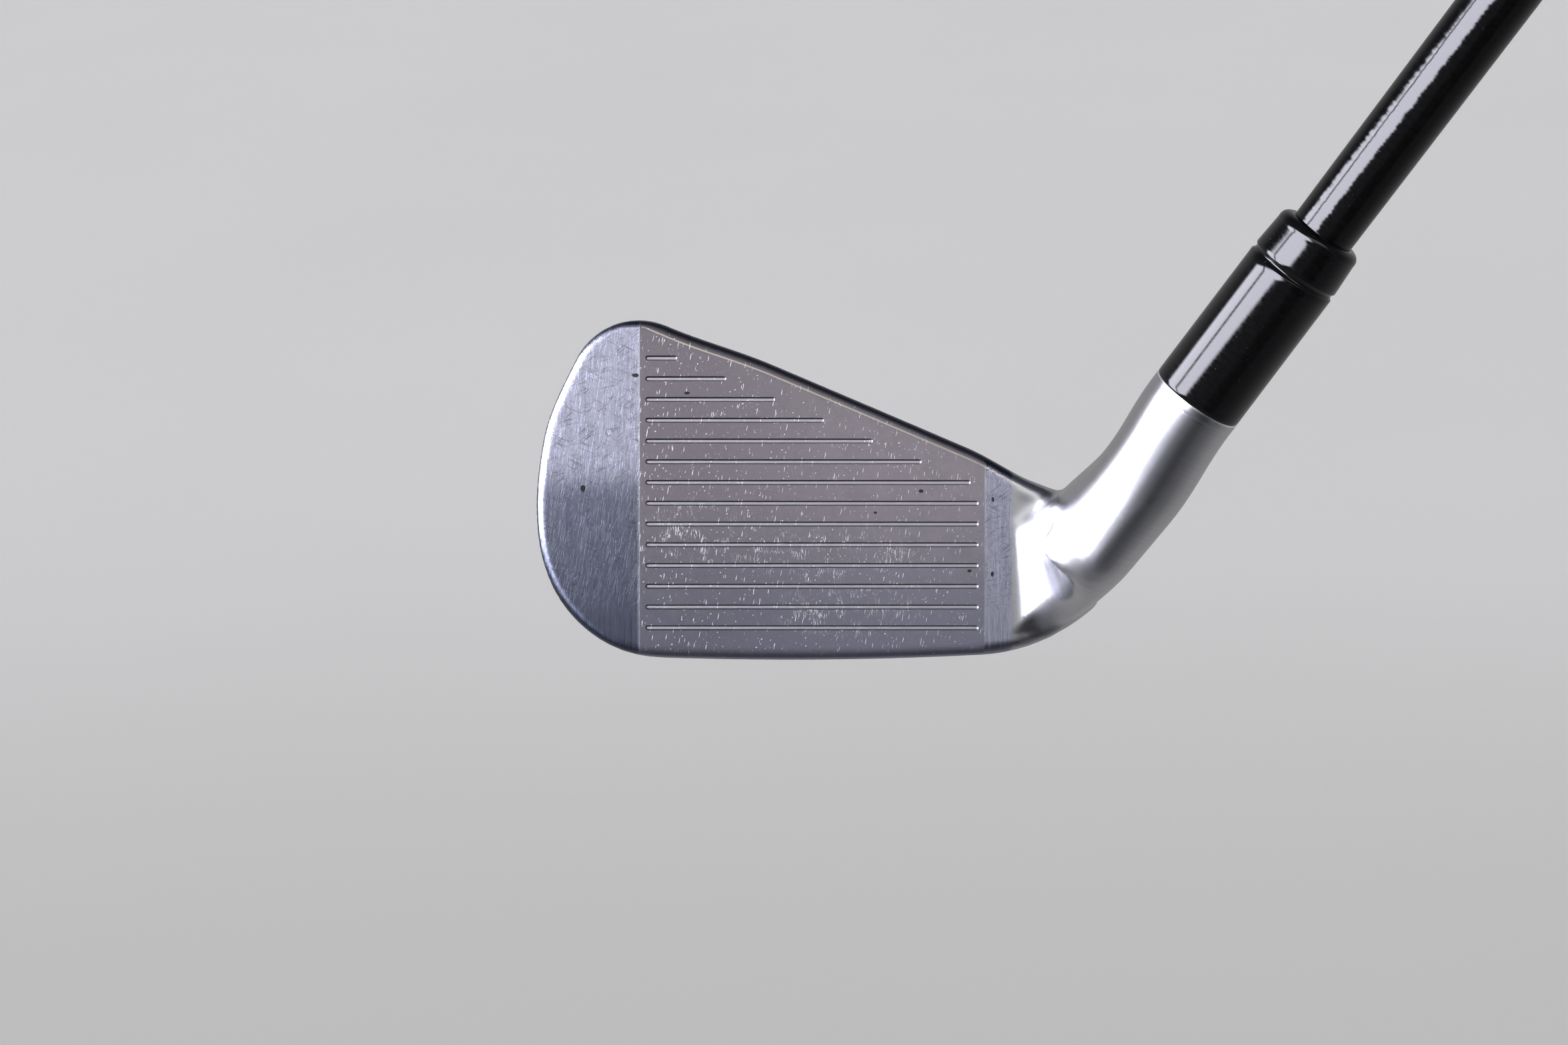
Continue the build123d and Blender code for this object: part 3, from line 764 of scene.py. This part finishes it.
def metal_material(name, dark, light, roughness, brushed=False):
    """Machined metal, or brushed with hairlines that run across the face."""
    material, n, bsdf = new_material(name, Metallic=1.0)
    place = object_place(n)
    rel = n.vector("SUBTRACT", place, tuple(face_origin))
    across = n.node("ShaderNodeSeparateXYZ", {0: place}).outputs["X"]
    up = n.vector("DOT_PRODUCT", rel, tuple(up_face))
    if brushed:
        grain = n.noise(n.combine(n.both(across, 0.15), n.both(up, 9.0), 3.0), 1.0, 3.0, 0.6)
    else:
        grain = n.noise(place, 4.0, 3.0, 0.6)
    stain = n.noise(place, 0.25, 3.0, 0.6)
    colour = n.mix(n.fade(grain, 0.3, 0.7), dark, light)
    colour = n.mix(n.fade(stain, 0.5, 0.75, 0.0, 0.3), colour, tuple(c * 0.5 for c in dark[:3]) + (1.0,))
    n.put(bsdf.inputs["Base Color"], colour)
    n.put(bsdf.inputs["Roughness"], n.fade(grain, 0.3, 0.7, roughness - 0.05, roughness + 0.08))
    n.put(bsdf.inputs["Normal"], n.bump(grain, 0.15, 0.00005))
    return material


def soft_material(name, dark, light, scale, bump, **shader):
    """Foam, paper, glue or elastomer: mottled between two colours with a fine surface grain."""
    material, n, bsdf = new_material(name, **shader)
    place = object_place(n)
    grain = n.noise(place, scale, 4.0, 0.65)
    colour = n.mix(n.fade(grain, 0.3, 0.7), dark, light)
    n.put(bsdf.inputs["Base Color"], colour)
    n.put(bsdf.inputs["Normal"], n.bump(grain, bump, 0.0001))
    return material


materials = {
    "head_steel": head_material(),
    "shaft_gloss": gloss_material("shaft_gloss", 0.002, ripple=1.2),
    "ferrule_gloss": gloss_material("ferrule_gloss", 0.002, ripple=0.1),
    "grip_rubber": rubber_material("grip_rubber", 0.013, 5.0),
    "cap_rubber": rubber_material("cap_rubber", 0.016, 8.0),
    "badge_metal": metal_material("badge_metal", grey(0.10), grey(0.17, (1, 1, 1.04)), 0.34, brushed=True),
    "weight_metal": metal_material("weight_metal", grey(0.30), grey(0.42, (1.02, 1, 0.97)), 0.3),
    "plug_brass": metal_material("plug_brass", (0.5, 0.36, 0.14, 1), (0.66, 0.5, 0.22, 1), 0.32),
    "damper_elastomer": soft_material("damper_elastomer", grey(0.012), grey(0.03), 3.0, 0.3, Roughness=0.7),
    "foam_tape": soft_material("foam_tape", grey(0.04), grey(0.09), 6.0, 0.5, Roughness=0.85),
    "epoxy": soft_material("epoxy", (0.55, 0.42, 0.2, 1), (0.7, 0.56, 0.3, 1), 1.5, 0.1, Roughness=0.35),
    "paper_tape": soft_material(
        "paper_tape", grey(0.5, (1, 0.94, 0.8)), grey(0.62, (1, 0.95, 0.84)), 4.0, 0.4, Roughness=0.9
    ),
}


def finish_piece(obj, slot, *nodes_replaced, angle):
    """Shades and paints one piece, hangs it under the root body and hides the CAD nodes it replaces; edges
    sharper than angle degrees stay sharp.
    """
    smooth(obj, angle)
    obj.data.materials.clear()
    obj.data.materials.append(materials[slot])
    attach(obj, "root")
    if nodes_replaced:
        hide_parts(*nodes_replaced)


# ---------------------------------------------------------------- head
NET_STEP = 0.55
MARGIN = 2.0
low, high = [np.array(corner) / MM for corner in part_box("head_body")]
points, quads = surface_net(head_distance, low - MARGIN, high + MARGIN, NET_STEP)
# the small bumps where the hollow, the neck and the blade run together are evened out
from_foot = points - shaft_foot
along_points = from_foot @ shaft_dir
from_axis = np.linalg.norm(from_foot - along_points[:, None] * shaft_dir, axis=1)
share = ease(points[:, 0], HOLLOW_START + 0.2, HOLLOW_START + 2.5) * ease(along_points, 48, 38)
share *= ease(from_axis, BORE_RADIUS + 0.3, BORE_RADIUS + 1.2)
points = settle(points, quads, share, turns=300)
head = mesh_object("head_forging", points, quads)


def stadium(toe_end, heel_end, height, half_width, out):
    """A ring of points round a groove with half-round ends, this far out of the face."""
    steps = 8
    ring = []
    for end, sign in ((heel_end, 1), (toe_end, -1)):
        centre = end - sign * GROOVE_WIDTH / 2
        for k in range(steps + 1):
            angle = pi * (k / steps - 0.5)
            across, up = sign * half_width * cos(angle), sign * half_width * sin(angle)
            ring.append(on_face(centre + across, height + up, -out))
    return ring


def groove_cutter():
    """One mesh of all the scoring lines, tapered to half their width at the bottom."""
    points, faces = [], []
    top_groove = GROOVE_BOTTOM + (GROOVE_COUNT - 1) * GROOVE_PITCH
    rise = 0.1
    spread = 0.25 * GROOVE_WIDTH * rise / GROOVE_DEPTH
    for line in range(GROOVE_COUNT):
        height = GROOVE_BOTTOM + line * GROOVE_PITCH
        heel_end = min(GROOVE_HALF_SPAN, TOP_GROOVE_END + (top_groove - height) / tan(TOPLINE_SLOPE))
        mouth = stadium(-GROOVE_HALF_SPAN, heel_end, height, GROOVE_WIDTH / 2 + spread, rise)
        bottom = stadium(-GROOVE_HALF_SPAN, heel_end, height, GROOVE_WIDTH / 4, -GROOVE_DEPTH)
        first, count = len(points), len(mouth)
        points += mouth + bottom
        for k in range(count):
            n = (k + 1) % count
            faces.append((first + k, first + count + k, first + count + n, first + n))
        faces.append(tuple(first + k for k in range(count)))
        faces.append(tuple(first + count + k for k in reversed(range(count))))
    return mesh_object("groove_cutter", points, faces)


cut(head, groove_cutter())
# a turned lip at the hosel's mouth covers the net's end
lip_profile = [
    (BORE_RADIUS, HOSEL_TOP - 1.7),
    (HOSEL_RADIUS - 0.02, HOSEL_TOP - 1.7),
    (HOSEL_RADIUS + 0.006, HOSEL_TOP - 1.3),
    (HOSEL_RADIUS + 0.004, HOSEL_TOP - 0.16),
    (HOSEL_RADIUS - 0.04, HOSEL_TOP - 0.05),
    (HOSEL_RADIUS - 0.14, HOSEL_TOP),
    (BORE_RADIUS + 0.5, HOSEL_TOP),
    (BORE_RADIUS, HOSEL_TOP - 0.5),
]
points, faces = turned_mesh(lip_profile, 128, close=True)
lip = mesh_object("hosel_lip", points, faces)
join(head, lip)
finish_piece(head, "head_steel", "head_body", angle=30)


# ---------------------------------------------------------------- ferrule and shaft
def along_curve(start, end, count, bulge=0.0):
    """Profile points from start to end, bowed outwards by bulge."""
    (r0, d0), (r1, d1) = start, end
    span = hypot(r1 - r0, d1 - d0)
    out_r, out_d = (d1 - d0) / span, -(r1 - r0) / span
    curve = []
    for k in range(count + 1):
        t = k / count
        bow = 4 * bulge * t * (1 - t)
        curve.append((r0 + (r1 - r0) * t + out_r * bow, d0 + (d1 - d0) * t + out_d * bow))
    return curve


collar = 6.45  # the ferrule's radius at its turned ring
ferrule_profile = (
    [(SHAFT_TIP_RADIUS, HOSEL_TOP - 0.4), (SHAFT_TIP_RADIUS + 0.55, HOSEL_TOP + 0.02)]
    + [(6.6, HOSEL_TOP + 0.02)]
    + along_curve((6.74, HOSEL_TOP + 0.03), (6.84, HOSEL_TOP + 0.18), 3, 0.02)
    + along_curve((6.83, HOSEL_TOP + 0.6), (collar + 0.17, FERRULE_RING - 0.62), 24)
    + along_curve((collar + 0.12, FERRULE_RING - 0.5), (collar + 0.07, FERRULE_RING + 0.5), 8, -0.28)
    + along_curve((collar + 0.1, FERRULE_RING + 0.62), (collar - 0.2, FERRULE_TOP - 1.8), 8)
    + along_curve((collar - 0.21, FERRULE_TOP - 1.6), (5.1, FERRULE_TOP - 0.02), 12, 0.42)
    + [(4.85, FERRULE_TOP), (SHAFT_TIP_RADIUS, FERRULE_TOP)]
)
points, faces = turned_mesh(ferrule_profile, 128, close=True)
ferrule = mesh_object("ferrule_sleeve", points, faces)
finish_piece(ferrule, "ferrule_gloss", "ferrule", angle=38)

shaft_profile = (
    [(TIP_BORE, BORE_BOTTOM), (SHAFT_TIP_RADIUS - 0.4, BORE_BOTTOM), (SHAFT_TIP_RADIUS, BORE_BOTTOM + 0.4)]
    + along_curve((SHAFT_TIP_RADIUS, BORE_BOTTOM + 4), (SHAFT_TIP_RADIUS, TAPER_START), 20)
    + along_curve((SHAFT_TIP_RADIUS + 0.01, TAPER_START + 2), (SHAFT_BUTT_RADIUS, TAPER_END), 60)
    + along_curve((SHAFT_BUTT_RADIUS, TAPER_END + 2), (SHAFT_BUTT_RADIUS, SHAFT_END), 30)
    + [(BUTT_BORE, SHAFT_END), (BUTT_BORE, TAPER_END), (TIP_BORE, TAPER_START)]
)
points, faces = turned_mesh(shaft_profile, 96, close=True)
shaft = mesh_object("shaft_tube", points, faces)
finish_piece(shaft, "shaft_gloss", "shaft", angle=38)

# ---------------------------------------------------------------- grip and cap
BAND = 24.0  # length of one band of the moulded pattern
BAND_RING = 3.0  # and of the plain ring at its start
CUTS = 16  # slanted cuts round the grip
CUT_LEAD = 5.2


def grip_radius(distance):
    """The sleeve's outside, with a moulded lip at the mouth."""
    share = (distance - GRIP_MOUTH) / (CAP_START - GRIP_MOUTH)
    body = MOUTH_RADIUS + (CAP_RADIUS - 0.4 - MOUTH_RADIUS) * (0.88 * share + 0.12 * share ** 2)
    return body - 0.7 * max(0, 1 - (distance - GRIP_MOUTH) / 1.2) ** 2


def relief(distance, turn):
    """Depth of the moulded pattern: bands of slanted cuts between plain rings, with a smooth lip and butt."""
    from_ends = min(distance - GRIP_MOUTH - 6, CAP_START - 6 - distance)
    if from_ends < 0:
        return 0.0
    band, within = divmod(distance - GRIP_MOUTH, BAND)
    if within < BAND_RING:
        return 0.28 if 0.9 < within < 2.1 else 0.0
    lean = turn * CUTS / (2 * pi) + (distance / CUT_LEAD if band % 2 else -distance / CUT_LEAD)
    return 0.32 * max(0.0, 1 - abs((lean % 1.0) - 0.5) / 0.2)


segments, rows = 144, 560
points, faces = [], []
for row in range(rows):
    distance = GRIP_MOUTH + (CAP_START - GRIP_MOUTH) * row / (rows - 1)
    for k in range(segments):
        turn = 2 * pi * k / segments
        points.append(about_shaft(grip_radius(distance) - relief(distance, turn), turn, distance))
for row in range(rows - 1):
    for k in range(segments):
        a, b, n = row * segments, (row + 1) * segments, (k + 1) % segments
        faces.append((a + k, a + n, b + n, b + k))
inner, inner_faces = turned_mesh([(TAPE_RADIUS, GRIP_MOUTH), (TAPE_RADIUS, CAP_START)], segments)
first = len(points)
points += inner
faces += [tuple(first + i for i in reversed(face)) for face in inner_faces]
for k in range(segments):
    n = (k + 1) % segments
    last = (rows - 1) * segments
    faces.append((first + k, first + n, n, k))
    faces.append((last + k, last + n, first + segments + n, first + segments + k))
grip = mesh_object("grip_rubber_sleeve", points, faces)
finish_piece(grip, "grip_rubber", "grip_sleeve", angle=50)

cap_profile = (
    [(VENT_RADIUS, CAP_START), (CAP_RADIUS - 0.6, CAP_START)]
    + along_curve((CAP_RADIUS - 0.35, CAP_START + 0.05), (CAP_RADIUS - 0.9, CAP_START + 4.5), 12, 0.55)
    + along_curve((CAP_RADIUS - 1.15, CAP_START + 4.8), (9.2, CLUB_LENGTH - 1.25), 8, 0.35)
    + [(9.0, CLUB_LENGTH - 1.5), (8.5, CLUB_LENGTH - 1.5), (8.3, CLUB_LENGTH - 1.15)]
    + along_curve((8.0, CLUB_LENGTH - 1.0), (2.2, CLUB_LENGTH - 0.05), 8, 0.12)
    + [(1.8, CLUB_LENGTH - 0.1), (VENT_RADIUS, CLUB_LENGTH - 0.5)]
)
points, faces = turned_mesh(cap_profile, 128, close=True)
cap = mesh_object("grip_end_cap", points, faces)
finish_piece(cap, "cap_rubber", "grip_cap", angle=38)

# ---------------------------------------------------------------- the CAD nodes that keep their shape
for node, slot in {
    "cavity_damper": "damper_elastomer",
    "toe_weight": "weight_metal",
    "badge_tape": "foam_tape",
    "cavity_badge": "badge_metal",
    "hosel_epoxy": "epoxy",
    "tip_plug": "plug_brass",
    "grip_tape": "paper_tape",
}.items():
    for place in frame["nodes"][node].material_slots:
        place.material = materials[slot]

# ---------------------------------------------------------------- stage
CAMERA_AIM = (-4.28, 20.9)  # the place on the face at the picture's middle
CAMERA_DISTANCE = 300.0
camera = bpy.data.objects.new("camera", bpy.data.cameras.new("camera"))
bpy.context.scene.collection.objects.link(camera)
camera.data.lens = 45.03
camera.data.sensor_width = 36
camera.data.clip_start = 0.01
camera.location = (on_face(*CAMERA_AIM) + out_of_face * CAMERA_DISTANCE) * MM
camera.rotation_euler = Vector(-out_of_face).to_track_quat("-Z", "Y").to_euler()
bpy.context.scene.camera = camera
bpy.context.scene.view_settings.view_transform = "Standard"

# a broad soft lamp over the stage, which the polished metal does not mirror
lamp = bpy.data.objects.new("soft_lamp", bpy.data.lights.new("soft_lamp", "SUN"))
bpy.context.scene.collection.objects.link(lamp)
lamp.data.energy = 0.24
lamp.data.angle = radians(70)
lamp.rotation_euler = (radians(12), radians(-24), 0)
lamp.visible_glossy = False


def stage_floor(height, reach, level):
    """A pale matt floor with painted shade a little darker in front; the club mirrors the surroundings and
    not the floor.
    """
    corners = [(x * reach, y * reach, height) for x, y in ((-1, -1), (1, -1), (1, 1), (-1, 1))]
    obj = mesh_object("floor", corners, [(0, 1, 2, 3)])
    material, n, bsdf = new_material("floor", Roughness=0.9)
    texture = n.noise(object_place(n), 0.002, 3.0)
    tone = n.mix(texture, grey(level, (1.03, 1, 0.90)), grey(level * 1.06, (1.02, 1, 0.91)))
    depth = n.node("ShaderNodeSeparateXYZ", {0: object_place(n)}).outputs["Y"]
    # painted shade: the floor darker towards the front
    near = grey(level * 0.86, (1.03, 1.01, 0.89))
    n.put(bsdf.inputs["Base Color"], n.mix(n.fade(depth, 600, 1500), near, tone))
    obj.data.materials.append(material)
    obj.visible_glossy = False


stage_floor(height=-700.0, reach=60000.0, level=0.46)


def studio_world():
    """Soft studio surroundings, as a sky of large dim and bright areas round the object."""
    world = bpy.data.worlds.new("studio")
    world.use_nodes = True
    w = Nodes(world.node_tree)
    direction = w.node("ShaderNodeTexCoord").outputs["Generated"]
    left = w.vector("DOT_PRODUCT", direction, (-1.0, 0.0, 0.0))
    upward = w.vector("DOT_PRODUCT", direction, tuple(up_face))
    front = w.vector("DOT_PRODUCT", direction, tuple(out_of_face))
    # a bright softbox low on the left, with a dimmer seam across it
    leaning = w.math("SUBTRACT", upward, w.both(left, 0.5))
    softbox = w.both(w.fade(front, 0.97, 0.88), w.fade(front, -0.22, -0.06), w.fade(left, 0.12, 0.26))
    softbox = w.both(softbox, w.fade(leaning, 0.1, -0.02), w.fade(upward, -0.16, -0.05))
    seam = w.fade(w.math("ABSOLUTE", w.math("SUBTRACT", front, 0.3)), 0.02, 0.07, 0.2, 1.0)
    softbox = w.both(softbox, seam)
    # the room is darker behind the camera, but for a pale patch above it
    room = w.mix(w.fade(front, -0.5, 0.5), grey(0.34, (1.0, 1.0, 1.02)), grey(0.11, (0.96, 0.98, 1.12)))
    over_camera = w.both(w.fade(upward, 0.02, 0.10), w.fade(upward, 0.5, 0.3), w.fade(front, 0.75, 0.9))
    room = w.mix(over_camera, room, grey(1.5, (1.0, 1.0, 1.03)))
    overhead = w.both(w.fade(upward, 0.35, 0.6), w.fade(front, -0.7, -0.2))
    room = w.mix(overhead, room, grey(0.05, (0.8, 0.9, 1.3)))
    low_right = np.array([0.26, 0, 0]) + out_of_face * 0.8 - up_face * 0.54
    low_right = w.vector("DOT_PRODUCT", direction, tuple(low_right / np.linalg.norm(low_right)))
    room = w.mix(w.fade(low_right, 0.91, 0.985), room, grey(0.012))
    room = w.mix(softbox, room, grey(15.0, (0.97, 0.98, 1.12)))
    w.put(world.node_tree.nodes["Background"].inputs["Color"], room)
    return world


bpy.context.scene.world = studio_world()
